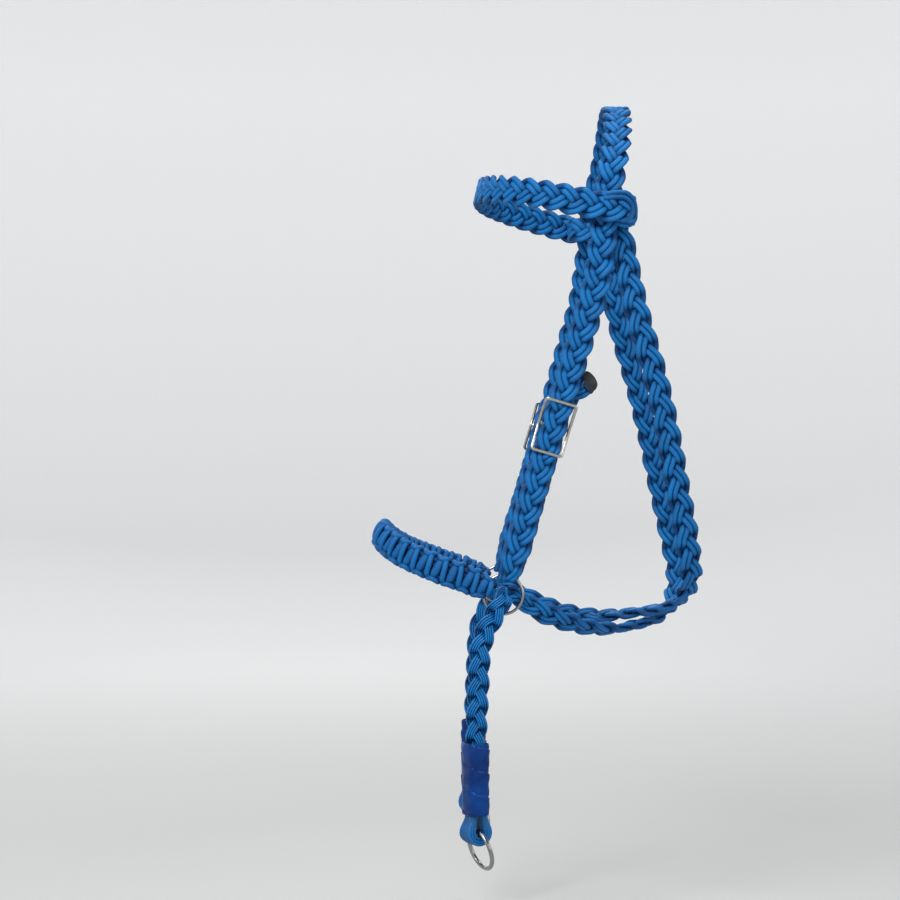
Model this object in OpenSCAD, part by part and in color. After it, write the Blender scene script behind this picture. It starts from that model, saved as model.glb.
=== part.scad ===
// Braided cord cross-under bridle, in the shape it has on a horse's head.
// +Z is up, the nose lies towards -X, the neck towards +X and the near side towards -Y.
// The origin is on the underside of the crown braid, where it rests on the poll. Millimetres.

/* [Braids] */
// Width of the headpiece braid
strap_w = 24.4; // [22:0.2:24.6]
// Thickness of one layer of the headpiece braid
strap_t = 8; // [6:0.5:8]
// Width of the cross-under braid
jaw_w = 21; // [18:0.5:22]
// Thickness of the crown, cross-under and browband braids
flat_t = 9; // [7:0.5:9]
// Width of the browband braid
brow_w = 26; // [22:1:28]
// Width of the knotted noseband
nose_w = 26; // [22:1:28]
// Thickness of the knotted noseband
nose_t = 11; // [9:0.5:11]
// Width of the hanging rein braid
rein_w = 20; // [18:0.5:21]

/* [Side rings] */
// Distance of each side ring from the head's middle plane
ring_y = 68; // [66:1:70]
// Radius of a side ring, to the middle of its wire
side_ring_r = 17.5; // [17:0.25:19]
// Radius of a side ring's wire
side_wire_r = 1.5; // [1.2:0.1:1.6]

/* [Slides] */
// Distance from the side ring up to the middle of the three-bar slide
slide_at = 158; // [120:1:165]
// Clear width between the slide's rails
slide_gap_w = 25.4; // [25.2:0.1:26]
// Distance between the slide's two end bars, middle to middle
slide_long = 47; // [40:1:50]

/* [Rein ends] */
// Length of the tape wrap
tape_long = 64; // [50:1:70]
// Radius of a rein ring, to the middle of its wire
rein_ring_r = 18; // [17:0.5:19]
// Radius of a rein ring's wire
rein_wire_r = 2; // [1.8:0.1:2.2]
// Turn of the rein ring's plane about the vertical
rein_turn = -60; // [-75:5:-30]
// Lean of the rein ring towards the neck as it hangs, about the axis of the fold
rein_lean = 17; // [0:1:25]

/* [Hidden] */

rope_blue = "#1f6fb8";
tape_blue = "#153f8a";
sealed_black = "#202224";
steel = "#b9bcc0";

section_cut = 0.3;      // share of a curved braid's thickness that is cut off its corners
length_round = 0.35;    // share of a straight braid's thickness that rounds its edges

// The near side ring's centre. Its axis is parallel to Y.
RING = [-105, -ring_y, -440];
ring_hole = 0.5;        // room between a ring's wire and the braid folded round it
fold_wall = 4;          // thickness of the braid where it is squeezed round a side ring

// The straight stretch of the cheek straps, as angles of a frame set on the ring's centre.
cheek_lean = 16.5;      // leans back from the vertical
cheek_tilt = 5;         // leans out from the vertical
cheek_top = 270;        // where the straight stretch ends, up from the ring
layer_gap = 1.1;        // from the middle plane to the face of each layer
front_from = 20;        // where the front layer meets the fold round the ring
join_gap = 1.2;         // between the end of that straight stretch and the crown braid
crown_foot = 8;         // how far the crown braid runs on in the same straight line
CHEEK_FACE = [0, -1, -0.09];
cheek_spread = 72;      // degrees of the side ring's wire that the cheek strap's fold covers

// The end that comes back up behind the cheek strap, and its sealed tip.
// Rows are how far up from the ring and how far across towards the neck.
RETURN = [[24.2, 0], [172, 0], [186, 4], [196, 11], [202, 15.5]];
return_w = 22;
tip_gap = 0.2;          // between the braid's end and the tip
tip_long = 10;
tip_end_long = 2;       // length of the tip's pinched end
tip_w = [20, 16];       // width of the tip, and of its pinched end
tip_thinner = [0.6, 2.4];   // how much thinner than the braid each of those is

// The slide's flat stock.
bar_t = 1.6;
bar_h = 3;
rail_w = 2.6;
slide_room = 0.4;       // between the strap and the end bars
rail_lap = 0.8;         // how far a bowed rail runs into the bars

// The noseband and browband each lie in one plane, tipped by these angles in the XZ plane.
nose_tip = -67;
nose_face = [0.39, 0, 0.92];
brow_face = [0.22, 0, 0.975];
noseband_from = 30;     // where the knotted band begins, out from the ring
nose_core = [12, 4.4];  // width and thickness of the cords inside the knots
nose_hole = [12.6, 5];  // width and thickness of the knots' open middle
nose_spread = 56;       // degrees of the side ring's wire that the noseband's loop covers
neck_from = 20.2;       // the loop's neck begins here, out from the ring
neck_gap = 0.2;         // between the neck and the knotted band
neck_w = 18;
neck_thinner = 1;       // how much thinner than the knotted band it is

// The browband's loop round the crown and cross-under straps.
loop_x = [-39, 12];
loop_y = [-112, -76];
loop_hole_x = [-30, 7.5];
loop_hole_y = [-102.8, -80.9];
loop_z = [-110.5, -84.5];
loop_outer_r = 12;
loop_inner_r = 1;

// The hanging strap, and the folded end that holds the rein ring.
REIN_X = -130;
REIN_Y = -79;
rein_top_z = -572;
eye_z = -651.5;         // axis of the fold round the rein ring
eye_r = 4;              // radius of the hole in the fold
eye_wall = 9;           // thickness of the braid under the ring's wire
eye_w = 16;             // width of the fold
wire_lift = 0.95;       // the ring's wire sits this far above the fold's axis
end_w = 21.4;           // width of the doubled end inside the tape
end_t = 17.4;           // thickness of the doubled end inside the tape
end_corner_r = 5;
end_gap = 0.3;          // between the doubled end and the hanging strap
end_lap = 0.5;          // how far the fold runs into the doubled end
hole_past = 4;          // how far the fold's hole is cut past each of its faces
tape_wall = 1.2;
tape_room = 0.2;        // room between the doubled end and the tape
tape_corner_r = 6;

// Routes. A row is a point and the way the braid's outer face looks. The cross-under straps' rows add
// the width, the thickness and how much of the crossing's lift applies there.
CROWN = [
    [0, 0, 5, 0, 0, 1], [0, -30, 0, 0, -0.25, 1], [-1, -56, -15, 0, -0.6, 0.8],
    [-4, -80, -38, 0, -0.8, 0.6], [-9, -94, -60, 0, -0.96, 0.3], [-12, -97, -78, 0, -1, 0],
    [-14.5, -97, -98, 0, -1, 0], [-17, -97, -118, 0, -1, 0], [-20, -97.5, -140, 0, -1, 0]
];
JAW = [
    [-10, -84, -64, 0, -1, 0, 20, 9, 0], [-9, -86.6, -78, 0, -1, 0, 20, 9, 0],
    [-8, -87.4, -92, 0, -1, 0, 20, 9, 0], [-5, -87.4, -108, 0, -1, 0, 20, 9, 0],
    [1, -87.4, -128, 0, -1, 0, jaw_w, 9, 0], [6, -90, -155, 0, -1, 0, jaw_w, 9, 0],
    [15, -93, -195, 0, -1, 0, jaw_w, 9, 0], [28, -92, -240, 0, -1, -0.1, jaw_w, 9, 0],
    [39, -87, -285, 0, -1, -0.15, jaw_w, 9, 0], [51, -78, -345, 0.1, -1, -0.2, jaw_w, 9, 0],
    [61, -68, -395, 0.25, -1, -0.3, jaw_w, 9, 0], [65, -56, -424, 0.5, -0.9, -0.5, jaw_w, 9, 0],
    [62, -42, -442, 0.5, -0.5, -0.75, jaw_w, 9, 0.2], [54, -26, -454, 0.4, -0.2, -0.9, jaw_w, 9, 0.6],
    [40, -11, -463, 0.3, 0, -0.95, jaw_w, 9, 1], [24, 0, -466.5, 0.15, 0, -1, jaw_w, 9, 1],
    [5, 10, -470, 0, 0.2, -1, jaw_w, 9, 1], [-14, 21, -471, -0.1, 0.5, -0.87, jaw_w, 9, 0.7],
    [-35, 34, -468.5, -0.15, 0.7, -0.75, 20, 9, 0.4], [-55, 46, -463, -0.2, 0.85, -0.5, 19, 9, 0.1],
    [-75, 56, -454, 0, 1, -0.25, 18, 8, 0], [-88, 60, -446, 0, 1, -0.2, 16, 7, 0],
    [-96, 61, -441.5, 0.2, 1, 0, 15, 6, 0], [-102.5, 64.5, -440, 0.7, 0.7, 0, 15, 6, 0],
    [-105, 73.5, -440, 1, 0.1, 0, 15, 6, 0]
];
cross_lift = 5.5;       // half the distance between the two straps where they cross
NOSE = [
    [-153, -66.5, -421], [-174, -60, -413], [-194, -46, -404.5], [-209, -26, -395], [-216, 0, -387]
];
BROW = [
    [-40.5, -106.8, -91], [-57, -104, -87], [-75, -96, -83], [-92, -84, -79], [-107, -67, -75.5],
    [-117, -47, -73], [-123, -24, -71], [-125, 0, -70]
];
REIN = [
    [-103, REIN_Y, -431], [-107, REIN_Y, -443], [-114, REIN_Y, -457], [-121, REIN_Y, -470],
    [-125.5, REIN_Y, -487], [-127, REIN_Y, -510], [-128.5, REIN_Y, -540], [REIN_X, REIN_Y, rein_top_z]
];

function unit(v) = v / norm(v);
function point(row) = [row[0], row[1], row[2]];
function face_way(row) = [row[3], row[4], row[5]];
function flipped(row) = [for (i = [0 : len(row) - 1]) (i == 1 || i == 4) ? -row[i] : row[i]];
function reversed(rows) = [for (i = [len(rows) - 1 : -1 : 0]) rows[i]];
// A near half that ends on the middle plane, followed by the same rows on the off side.
function both_halves(rows) = concat(rows, [for (i = [len(rows) - 2 : -1 : 0]) flipped(rows[i])]);

// Catmull-Rom curve through the rows, with steps rings to each stretch.
function curve_at(a, b, c, d, t) =
    0.5 * (2 * b + (c - a) * t + (2 * a - 5 * b + 4 * c - d) * t * t + (3 * b - a - 3 * c + d) * t * t * t);
function smooth(rows, steps = 2) = let (n = len(rows) - 1) concat(
    [for (i = [0 : n - 1], k = [0 : steps - 1])
        curve_at(i == 0 ? 2 * rows[0] - rows[1] : rows[i - 1], rows[i], rows[i + 1],
            i == n - 1 ? 2 * rows[n] - rows[n - 1] : rows[i + 2], k / steps)],
    [rows[n]]);

function way_at(rows, i) = unit(point(rows[min(i + 1, len(rows) - 1)]) - point(rows[max(i - 1, 0)]));
// An eight-sided flat section, w wide and t thick, set square to the route.
function ring_at(centre, way, face, w, t) =
    let (side = unit(cross(way, face)), out = cross(side, way), cut = t * section_cut,
        section = [[w / 2, t / 2 - cut], [w / 2 - cut, t / 2], [cut - w / 2, t / 2], [-w / 2, t / 2 - cut],
            [-w / 2, cut - t / 2], [cut - w / 2, -t / 2], [w / 2 - cut, -t / 2], [w / 2, cut - t / 2]])
    [for (s = section) centre + side * s[0] + out * s[1]];

// A flat braid carried along a route. Rows without a width and thickness of their own take w and t.
module braid(rows, w, t) {
    n = len(rows);
    rings = [for (i = [0 : n - 1]) let (own = len(rows[i]) > 6)
        ring_at(point(rows[i]), way_at(rows, i), face_way(rows[i]),
            own ? rows[i][6] : w, own ? rows[i][7] : t)];
    polyhedron(
        points = [for (r = rings, p = r) p],
        faces = concat(
            [[for (k = [7 : -1 : 0]) k]],
            [for (i = [0 : n - 2], k = [0 : 7])
                [i * 8 + k, i * 8 + (k + 1) % 8, i * 8 + 8 + (k + 1) % 8, i * 8 + 8 + k]],
            [[for (k = [0 : 7]) (n - 1) * 8 + k]]),
        convexity = 6);
}

// A band with an open middle, carried along a route that lies in one plane. face is the band's width direction.
module hollow_band(rows, face, w, t, inner_w, inner_t) {
    n = len(rows);
    function rings(a, b) = [for (i = [0 : n - 1])
        let (way = way_at(rows, i)) ring_at(point(rows[i]), way, cross(way, face), a, b)];
    outer = rings(w, t);
    inner = rings(inner_w, inner_t);
    base = n * 8;
    end = (n - 1) * 8;
    polyhedron(
        points = concat([for (r = outer, p = r) p], [for (r = inner, p = r) p]),
        faces = concat(
            [for (i = [0 : n - 2], k = [0 : 7]) let (j = (k + 1) % 8)
                [i * 8 + k, i * 8 + j, i * 8 + 8 + j, i * 8 + 8 + k]],
            [for (i = [0 : n - 2], k = [0 : 7]) let (j = (k + 1) % 8)
                [base + i * 8 + k, base + i * 8 + 8 + k, base + i * 8 + 8 + j, base + i * 8 + j]],
            [for (k = [0 : 7]) let (j = (k + 1) % 8) [k, base + k, base + j, j]],
            [for (k = [0 : 7]) let (j = (k + 1) % 8) [end + k, end + j, base + end + j, base + end + k]]),
        convexity = 8);
}

// The near half of a planar band's route, with its faces turned outwards.
function planar(rows, face) =
    let (path = smooth(both_halves(rows), 2))
    [for (i = [0 : len(path) - 1]) concat(path[i], cross(way_at(path, i), face))];

module off_side() { mirror([0, 1, 0]) children(); }

// Puts its children in the frame of the straight cheek stretch: +Z up the strap, -Y outwards.
module on_cheek() { translate(RING) rotate([0, cheek_lean, 0]) rotate([cheek_tilt, 0, 0]) children(); }
function cheek_point(up, out) =
    let (c = cos(cheek_tilt), s = sin(cheek_tilt), y = -out)
    RING + [sin(cheek_lean) * (up * c + y * s), y * c - up * s, cos(cheek_lean) * (up * c + y * s)];

// A braid squeezed round the ring's wire: a sleeve that follows the wire for spread degrees.
module ring_sleeve(lean, spread) {
    translate(RING) rotate([0, lean, 0]) rotate([90, 0, 0]) rotate([0, 0, 90 - spread / 2])
        rotate_extrude(angle = spread, $fn = 72) translate([side_ring_r, 0]) difference() {
            circle(r = side_wire_r + ring_hole + fold_wall, $fn = 32);
            circle(r = side_wire_r + ring_hole, $fn = 24);
        }
}

// A flat strap along +Z with rounded edges, w wide and t thick.
module flat_length(w, t, long) {
    linear_extrude(long) rounded(w, t, t * length_round);
}

module rounded(w, t, r) {
    square([w - 2 * r, t], center = true);
    square([w, t - 2 * r], center = true);
    for (x = [r - w / 2, w / 2 - r], y = [r - t / 2, t / 2 - r]) translate([x, y]) circle(r = r, $fn = 24);
}

module torus(big, small) { rotate_extrude($fn = 72) translate([big, 0]) circle(r = small, $fn = 24); }

module crown_strap() {
    foot = [for (up = [0, crown_foot]) cheek_point(cheek_top + up, layer_gap + strap_t / 2)];
    near = concat([for (p = foot) concat(p, CHEEK_FACE)], reversed(CROWN));
    color(rope_blue) braid(smooth(both_halves(near), 2), strap_w, flat_t);
}

module near_cheek_strap() {
    color(rope_blue) union() {
        ring_sleeve(cheek_lean, cheek_spread);
        on_cheek() translate([0, -layer_gap - strap_t / 2, front_from])
            flat_length(strap_w, strap_t, cheek_top - front_from - join_gap);
    }
}
module off_cheek_strap() { off_side() near_cheek_strap(); }

// The strap's end comes back up behind the front layer and veers towards the neck above the slide.
module near_cheek_return() {
    rows = [for (r = RETURN) [r[1], 0, r[0], 0, 1, 0]];
    color(rope_blue) on_cheek() translate([0, layer_gap + strap_t / 2, 0]) braid(rows, return_w, strap_t);
}
module off_cheek_return() { off_side() near_cheek_return(); }

module near_tail_tip() {
    end = RETURN[len(RETURN) - 1];
    veer = end - RETURN[len(RETURN) - 2];
    color(sealed_black) on_cheek() translate([end[1], layer_gap + strap_t / 2, end[0]])
        rotate([0, atan2(veer[1], veer[0]), 0]) translate([0, 0, tip_gap]) union() {
            flat_length(tip_w[0], strap_t - tip_thinner[0], tip_long - tip_end_long);
            translate([0, 0, tip_long - tip_end_long])
                flat_length(tip_w[1], strap_t - tip_thinner[1], tip_end_long);
        }
}
module off_tail_tip() { off_side() near_tail_tip(); }

// Down behind the cheek, under the jaw and out through the side ring of the other side.
function jaw_rows(lift) = [for (r = JAW) [r[0], r[1], r[2] + r[8] * lift, r[3], r[4], r[5], r[6], r[7]]];
module near_cross_under() { color(rope_blue) braid(smooth(jaw_rows(cross_lift), 2), jaw_w, flat_t); }
module off_cross_under() { color(rope_blue) off_side() braid(smooth(jaw_rows(-cross_lift), 2), jaw_w, flat_t); }

// Three bars between two bowed rails. The end bars lie in front of the strap and the middle bar behind it.
module near_slide() {
    front = layer_gap + strap_t + slide_room + bar_t / 2;
    bow = atan(front / (slide_long / 2));
    rail_long = norm([front, slide_long / 2]);
    wide = slide_gap_w + 2 * rail_w;
    color(steel) on_cheek() translate([0, 0, slide_at]) union() {
        for (end = [-1, 1]) {
            translate([0, -front, end * slide_long / 2]) cube([wide, bar_t, bar_h], center = true);
            for (x = [-1, 1] * (slide_gap_w + rail_w) / 2)
                translate([x, -front / 2, end * slide_long / 4]) rotate([end * bow, 0, 0])
                    cube([rail_w, bar_t, rail_long + rail_lap], center = true);
        }
        cube([wide, bar_t, bar_h], center = true);
    }
}
module off_slide() { off_side() near_slide(); }

module near_side_ring() { color(steel) translate(RING) rotate([90, 0, 0]) torus(side_ring_r, side_wire_r); }
module off_side_ring() { off_side() near_side_ring(); }

// The band's straight start, out from the loop round the ring, then the curve over the nose.
function nose_start(up) = RING + up * [sin(nose_tip), 0, cos(nose_tip)];
nose_rows = planar(concat([nose_start(noseband_from), nose_start(noseband_from + 9)], NOSE), nose_face);
module noseband_core() { color(rope_blue) braid(nose_rows, nose_core[0], nose_core[1]); }
module noseband_wrap() {
    color(rope_blue) hollow_band(nose_rows, nose_face, nose_w, nose_t, nose_hole[0], nose_hole[1]);
}
module near_noseband_loop() {
    color(rope_blue) union() {
        ring_sleeve(nose_tip, nose_spread);
        translate(RING) rotate([0, nose_tip, 0]) translate([0, 0, neck_from])
            flat_length(neck_w, nose_t - neck_thinner, noseband_from - neck_from - neck_gap);
    }
}
module off_noseband_loop() { off_side() near_noseband_loop(); }

module browband_strap() { color(rope_blue) braid(planar(BROW, brow_face), brow_w, flat_t); }

function span(a) = a[1] - a[0];
function middle(a) = (a[0] + a[1]) / 2;
module near_browband_loop() {
    color(rope_blue) translate([0, 0, loop_z[0]]) linear_extrude(span(loop_z)) difference() {
        translate([middle(loop_x), middle(loop_y)]) rounded(span(loop_x), span(loop_y), loop_outer_r);
        translate([middle(loop_hole_x), middle(loop_hole_y)])
            rounded(span(loop_hole_x), span(loop_hole_y), loop_inner_r);
    }
}
module off_browband_loop() { off_side() near_browband_loop(); }

module near_rein_strap() {
    color(rope_blue) braid(smooth([for (p = REIN) concat(p, [0, -1, 0])], 2), rein_w, flat_t);
}
module off_rein_strap() { off_side() near_rein_strap(); }

// Puts its children on the axis of the fold round the rein ring, with that axis along X.
module on_eye() { translate([REIN_X, REIN_Y, eye_z]) rotate([0, 0, rein_turn]) children(); }

// The strap's last stretch, doubled inside the tape and folded round the ring.
module near_rein_end_loop() {
    tape_low = rein_top_z - tape_long - eye_z;
    out_r = eye_r + eye_wall;
    color(rope_blue) on_eye() difference() {
        union() {
            translate([0, 0, tape_low])
                linear_extrude(tape_long - end_gap) rounded(end_w, end_t, end_corner_r);
            rotate([0, 90, 0]) cylinder(r = out_r, h = eye_w, center = true, $fn = 64);
            translate([-eye_w / 2, -end_t / 2, 0]) cube([eye_w, end_t, tape_low + end_lap]);
        }
        rotate([0, 90, 0]) cylinder(r = eye_r, h = eye_w + 2 * hole_past, center = true, $fn = 48);
    }
}
module off_rein_end_loop() { off_side() near_rein_end_loop(); }

module near_tape_wrap() {
    grow = 2 * tape_room;
    color(tape_blue) on_eye() translate([0, 0, rein_top_z - tape_long - eye_z])
        linear_extrude(tape_long) difference() {
            rounded(end_w + grow + 2 * tape_wall, end_t + grow + 2 * tape_wall, tape_corner_r);
            rounded(end_w + grow, end_t + grow, end_corner_r);
        }
}
module off_tape_wrap() { off_side() near_tape_wrap(); }

module near_rein_ring() {
    color(steel) on_eye() rotate([rein_lean, 0, 0]) translate([0, 0, wire_lift - rein_ring_r])
        rotate([90, 0, 0]) torus(rein_ring_r, rein_wire_r);
}
module off_rein_ring() { off_side() near_rein_ring(); }

crown_strap();
near_cheek_strap();
off_cheek_strap();
near_cheek_return();
off_cheek_return();
near_tail_tip();
off_tail_tip();
near_cross_under();
off_cross_under();
near_slide();
off_slide();
near_side_ring();
off_side_ring();
noseband_core();
noseband_wrap();
near_noseband_loop();
off_noseband_loop();
browband_strap();
near_browband_loop();
off_browband_loop();
near_rein_strap();
off_rein_strap();
near_rein_end_loop();
off_rein_end_loop();
near_tape_wrap();
off_tape_wrap();
near_rein_ring();
off_rein_ring();
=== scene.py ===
# %% [markdown]
# # A braided cord bridle, strand by strand
# The real thing is tied by hand from a few long blue cords: flat three-strand braids run over the
# poll, down the cheeks and under the jaw, a knotted band crosses the nose, and plain steel rings and
# slides join them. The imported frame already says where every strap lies, so this lesson lays the
# real strands along those places. Lengths are written in millimetres and scaled once, as they go
# into a mesh.

import bpy
import numpy as np
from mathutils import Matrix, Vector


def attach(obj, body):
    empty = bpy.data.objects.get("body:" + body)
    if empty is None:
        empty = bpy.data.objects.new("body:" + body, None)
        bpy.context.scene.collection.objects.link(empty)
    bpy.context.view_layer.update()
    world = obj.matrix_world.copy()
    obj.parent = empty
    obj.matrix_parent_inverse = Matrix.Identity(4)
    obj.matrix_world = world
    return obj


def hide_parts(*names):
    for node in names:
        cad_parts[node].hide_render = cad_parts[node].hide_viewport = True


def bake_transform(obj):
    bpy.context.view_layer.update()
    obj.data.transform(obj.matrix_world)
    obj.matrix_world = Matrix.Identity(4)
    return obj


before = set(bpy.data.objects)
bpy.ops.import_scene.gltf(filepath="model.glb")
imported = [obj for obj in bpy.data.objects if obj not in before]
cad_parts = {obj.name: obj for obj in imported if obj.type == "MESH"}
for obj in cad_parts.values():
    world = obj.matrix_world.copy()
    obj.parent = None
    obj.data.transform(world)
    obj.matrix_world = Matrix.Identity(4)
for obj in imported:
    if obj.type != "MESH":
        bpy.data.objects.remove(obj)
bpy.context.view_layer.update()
MM = 0.001

# %% [markdown]
# ## The camera
# A bridle is looked at from the near side, square on, from a couple of strides away. A long lens
# keeps the straps' widths true from poll to rein ring. It could be turned to face the middle of the
# object, but a level camera keeps the hanging strap upright.

# %% Camera
CAMERA_AT, LENS = (-0.153, -1.868, -0.310), 80     # metres, and millimetres of focal length
camera = bpy.data.objects.new("camera", bpy.data.cameras.new("camera"))
bpy.context.scene.collection.objects.link(camera)
camera.data.lens = LENS
camera.location = CAMERA_AT
camera.rotation_euler = (np.pi / 2, 0, 0)
bpy.context.scene.camera = camera
bpy.context.scene.view_settings.view_transform = "Standard"    # keeps a strong dye strong
print("camera stands", -CAMERA_AT[1], "m out on the near side")

# %% [markdown]
# ## Routes
# Every strap is carried along a curve. A few given points say where its middle goes. A Bezier
# curve object would draw it too, but the strands need the curve's directions at every step, so a cubic
# is put through the points here, with slopes taken from the points on both sides of each.

# %% Routes
def unit(v):
    """Each row of v divided by its length."""
    return v / np.linalg.norm(v, axis=-1, keepdims=True)


def along(s, run, values):
    """The rows of values, known at the distances run, read off between them at the distances s."""
    return np.stack([np.interp(s, run, column) for column in values.T], axis=-1)


def route(rows, step=0.5):
    """A cubic between each pair of rows, with the slopes that the rows on both sides give it. Returns the
    distance run and the row at every step of it. The first three columns are a place."""
    rows = np.asarray(rows, float)
    knot = np.append(0, np.cumsum(np.linalg.norm(np.diff(rows[:, :3], axis=0), axis=1)))
    slope = np.gradient(rows, knot, axis=0)
    t = np.linspace(0, knot[-1], int(knot[-1] / step) + 2)
    i = np.clip(np.searchsorted(knot, t, side="right") - 1, 0, len(rows) - 2)
    gap = (knot[i + 1] - knot[i])[:, None]
    f = (t[:, None] - knot[i][:, None]) / gap
    curve = (
        (2 * f**3 - 3 * f**2 + 1) * rows[i]
        + (f**3 - 2 * f**2 + f) * gap * slope[i]
        + (3 * f**2 - 2 * f**3) * rows[i + 1]
        + (f**3 - f**2) * gap * slope[i + 1]
    )
    run = np.append(0, np.cumsum(np.linalg.norm(np.diff(curve[:, :3], axis=0), axis=1)))
    return run, curve


def other_side(rows):
    """The same rows on the other side of the head: every y changes its sign."""
    return np.asarray(rows, float) * np.where(np.isin(np.arange(len(rows[0])), (1, 4)), -1, 1)


def both_halves(rows):
    """A near half that ends on the middle plane, and then its mirror image back to the off end."""
    return np.vstack([rows, other_side(rows)[-2::-1]])


quarter = np.linspace(0, np.pi / 2, 5)
run, _ = route(np.stack([10 * np.cos(quarter), 10 * np.sin(quarter), 0 * quarter], axis=-1))
print("a cubic through 5 points of a 10 mm quarter circle is", round(run[-1], 2), "mm long, not 15.71")

# %% [markdown]
# ## Flat straps
# A strap is flat, so its middle line isn't enough: each given row also says which way the outer
# face looks, how wide and how thick the strap is. Two cross products turn that into a width direction.
# Where a strap is folded round a side ring it can't stay flat, because the wire is a curve, so there
# its width is wrapped round the ring's axis.

# %% Straps and the side ring
RING = np.array([-105, -68, -440])      # the near side ring's centre
RING_R, RING_WIRE = 17.5, 1.5           # to the middle of its wire, and the wire's own radius


class Strap:
    """A flat strap. Rows are x, y, z, the outer face's direction, width, thickness, and wrap, which is
    1 where the strap is folded round a side ring and 0 elsewhere."""

    def __init__(self, rows):
        self.run, curve = route(rows)
        way = unit(np.gradient(curve[:, :3], self.run, axis=0))
        side = unit(np.cross(way, curve[:, 3:6]))
        self.lines = np.hstack([curve[:, :3], side, np.cross(side, way), curve[:, 6:]])
        self.long = self.run[-1]

    def at(self, s):
        """Middle, width direction, outward direction, width, thickness and wrap at the distances s."""
        v = along(s, self.run, self.lines)
        return v[:, :3], unit(v[:, 3:6]), unit(v[:, 6:9]), v[:, 9], v[:, 10], np.clip(v[:, 11], 0, 1)

    def place(self, s, x, z):
        """The points x across and z out from the strap's middle. Where wrap is 1, x is an arc about the
        side ring's axis, at the strap's own distance from it."""
        middle, side, out, _, _, wrap = self.at(s)
        inner = middle + out * z[:, None]
        axis_at = RING * (1, 0, 1)
        from_ring = inner - axis_at
        turn = wrap * x / np.hypot(from_ring[:, 0], from_ring[:, 2])
        c, d = np.cos(turn), np.sin(turn)
        bent = np.stack(
            [from_ring[:, 0] * c + from_ring[:, 2] * d, inner[:, 1],
             from_ring[:, 2] * c - from_ring[:, 0] * d], axis=-1)
        return bent + axis_at + side * (x * (1 - wrap))[:, None]


print("side ring centre:", RING, "mm, and it is", 2 * (RING_R + RING_WIRE), "mm across outside")

# %% [markdown]
# ## Cords as tubes
# A cord in a braid is pressed a little flat, so its section is an ellipse that is wider across the
# braid than it is thick. Curves with a bevel would give round tubes only, so each cord is swept as a
# grid: one direction along it, the other round it. The UV map keeps the distance along the cord in
# millimetres and the turn round it, which is what a woven sheath needs. A shade attribute keeps how
# bright the cord is painted: no two lengths are alike in tone, and each gets painted shade where it
# dives under the others.

# %% Tubes
SHADE_SEED = 7
random = np.random.default_rng(SHADE_SEED)


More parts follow.
